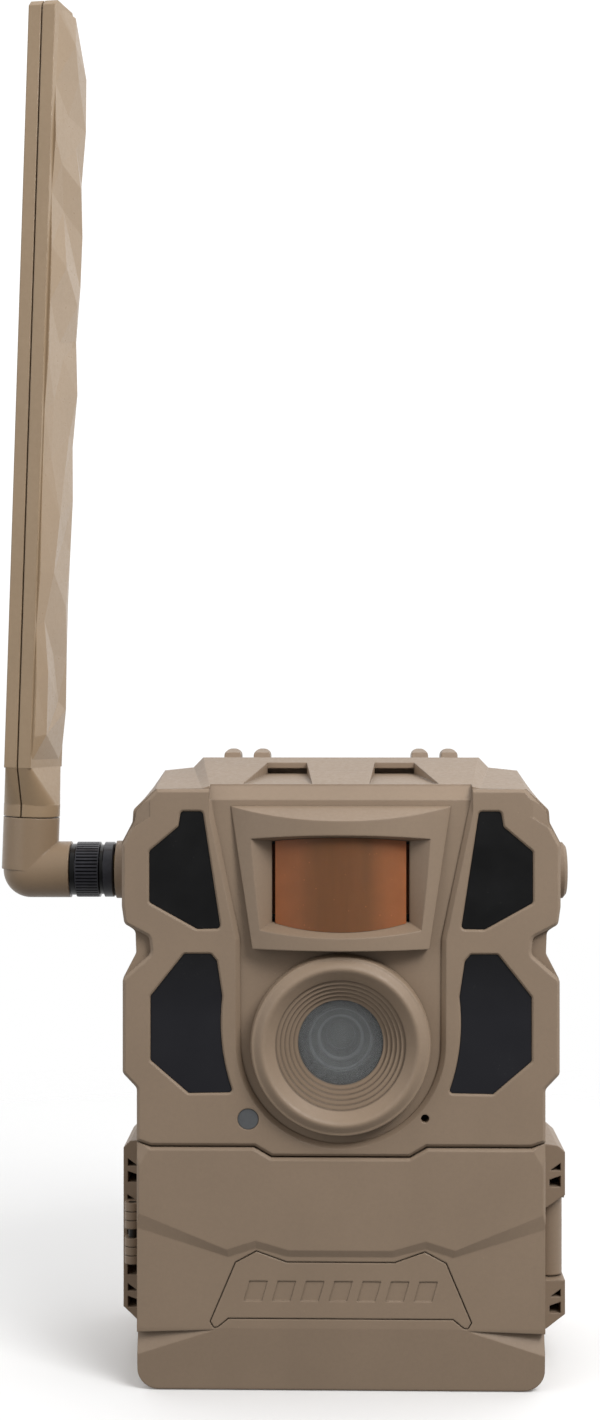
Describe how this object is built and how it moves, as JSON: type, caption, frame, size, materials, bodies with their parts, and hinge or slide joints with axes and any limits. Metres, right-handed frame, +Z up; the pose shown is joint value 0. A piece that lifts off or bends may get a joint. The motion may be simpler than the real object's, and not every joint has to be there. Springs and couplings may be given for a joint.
{
  "type": "trail camera",
  "caption": "Weatherproof cellular trail camera: hinged battery door, side latch, stepped lens ring, motion sensor window, infrared windows and swivelling paddle antenna.",
  "frame": {"origin": "mouth of the tripod socket, in the middle of the flat base", "axes": "+X to the right seen from the front, +Y towards the back, +Z up"},
  "size_m": [0.1451, 0.0852, 0.3436],
  "materials": {
    "tan_housing": "fine moulded grain",
    "tan_antenna": "fine moulded grain",
    "ir_window": "infrared-pass black, satin",
    "pir_film": "orange-brown translucent polyethylene",
    "black_plastic": "moulded black",
    "grey_plastic": "moulded grey",
    "clear_glass": "polished",
    "sensor_grey": "frosted grey",
    "rubber_seal": "moulded rubber",
    "rubber_tan": "moulded rubber",
    "steel": "plated",
    "dark_steel": "blackened",
    "brass": "machined",
    "circuit_board": "green solder mask",
    "electronics": "moulded component",
    "led_lens": "clear dome",
    "cell_wrap": "printed wrap, plain",
    "gold_contact": "plated",
    "button_rubber": "soft touch",
    "screen": "display glass",
    "webbing": "woven ribbon"
  },
  "bodies": {
    "camera_body": {"front_housing": "tan_housing", "rear_housing": "tan_housing", "lens_shroud": "tan_housing", "pir_frame": "tan_housing", "housing_gasket": "rubber_seal", "door_gasket": "rubber_seal", "window_seal": "rubber_seal", "tripod_insert": "brass", "housing_screws": "steel", "board_screws": "steel", "hinge_pin": "dark_steel", "latch_pin": "steel", "lens_window": "clear_glass", "lens_holder": "black_plastic", "lens_barrel": "grey_plastic", "lens_front_element": "clear_glass", "image_sensor": "circuit_board", "pir_lens": "pir_film", "pir_lens_retainer": "black_plastic", "pir_sensor": "steel", "led_windows_upper": "ir_window", "led_windows_lower": "ir_window", "led_boards": "circuit_board", "ir_leds": "led_lens", "light_sensor_window": "sensor_grey", "mic_mesh": "steel", "microphone": "electronics", "main_board": "circuit_board", "modem_module": "steel", "control_board": "circuit_board", "control_panel": "grey_plastic", "lcd_screen": "screen", "tact_switches": "electronics", "card_sockets": "steel", "battery_tray": "black_plastic", "battery_cells": "cell_wrap", "battery_contacts": "gold_contact", "tray_pull_tab": "webbing", "dc_jack": "electronics", "antenna_connector": "gold_contact", "connector_nut": "gold_contact", "coax_jumper": "electronics"},
    "door": {"door": "tan_housing", "door_badge": "tan_housing"},
    "latch_lever": {"latch_lever": "tan_housing"},
    "ir_cut_filter": {"ir_cut_filter": "black_plastic"},
    "power_switch": {"power_switch": "button_rubber"},
    "sd_card": {"sd_card": "black_plastic"},
    "sim_card": {"sim_card": "grey_plastic"},
    "dc_port_cover": {"dc_port_cover": "rubber_tan"},
    "antenna_nut": {"antenna_nut": "black_plastic"},
    "antenna_elbow": {"antenna_elbow": "tan_antenna"},
    "antenna_blade": {"antenna_inner_shell": "tan_antenna", "antenna_outer_shell": "tan_antenna", "antenna_element": "circuit_board"},
    "button_up": {"button_up": "button_rubber"},
    "button_down": {"button_down": "button_rubber"},
    "button_left": {"button_left": "button_rubber"},
    "button_right": {"button_right": "button_rubber"},
    "button_ok": {"button_ok": "button_rubber"}
  },
  "joints": [
    {"name": "door_hinge", "type": "hinge", "parent": "camera_body", "child": "door", "pos_m": [-0.0522, -0.0142, 0.033], "axis": [0, 0, -1], "range_deg": [0, 120]},
    {"name": "latch_pivot", "type": "hinge", "parent": "camera_body", "child": "latch_lever", "pos_m": [0.0526, -0.0084, 0.0317], "axis": [0, 0, -1], "range_deg": [0, 75]},
    {"name": "antenna_swivel", "type": "hinge", "parent": "camera_body", "child": "antenna_elbow", "pos_m": [-0.0798, 0, 0.1229], "axis": [1, 0, 0], "continuous": true},
    {"name": "antenna_blade_turn", "type": "hinge", "parent": "antenna_elbow", "child": "antenna_blade", "pos_m": [-0.0798, 0, 0.1364], "axis": [0.0349, 0, 0.9994], "range_deg": [-90, 90]},
    {"name": "antenna_nut_spin", "type": "hinge", "parent": "camera_body", "child": "antenna_nut", "pos_m": [-0.0635, 0, 0.1229], "axis": [1, 0, 0], "continuous": true},
    {"name": "ir_cut_slide", "type": "slide", "parent": "camera_body", "child": "ir_cut_filter", "axis": [1, 0, 0], "range_m": [0, 0.007]},
    {"name": "power_switch_slide", "type": "slide", "parent": "camera_body", "child": "power_switch", "axis": [1, 0, 0], "range_m": [0, 0.003]},
    {"name": "sd_card_slide", "type": "slide", "parent": "camera_body", "child": "sd_card", "axis": [0, -1, 0], "range_m": [0, 0.012]},
    {"name": "sim_card_slide", "type": "slide", "parent": "camera_body", "child": "sim_card", "axis": [0, -1, 0], "range_m": [0, 0.01]},
    {"name": "dc_port_cover_pull", "type": "slide", "parent": "camera_body", "child": "dc_port_cover", "axis": [1, 0, 0], "range_m": [0, 0.012]},
    {"name": "button_up_press", "type": "slide", "parent": "camera_body", "child": "button_up", "axis": [0, 1, 0], "range_m": [0, 0.0006], "stiffness_N_per_m": 800},
    {"name": "button_down_press", "type": "slide", "parent": "camera_body", "child": "button_down", "axis": [0, 1, 0], "range_m": [0, 0.0006], "stiffness_N_per_m": 800},
    {"name": "button_left_press", "type": "slide", "parent": "camera_body", "child": "button_left", "axis": [0, 1, 0], "range_m": [0, 0.0006], "stiffness_N_per_m": 800},
    {"name": "button_right_press", "type": "slide", "parent": "camera_body", "child": "button_right", "axis": [0, 1, 0], "range_m": [0, 0.0006], "stiffness_N_per_m": 800},
    {"name": "button_ok_press", "type": "slide", "parent": "camera_body", "child": "button_ok", "axis": [0, 1, 0], "range_m": [0, 0.0006], "stiffness_N_per_m": 800}
  ]
}
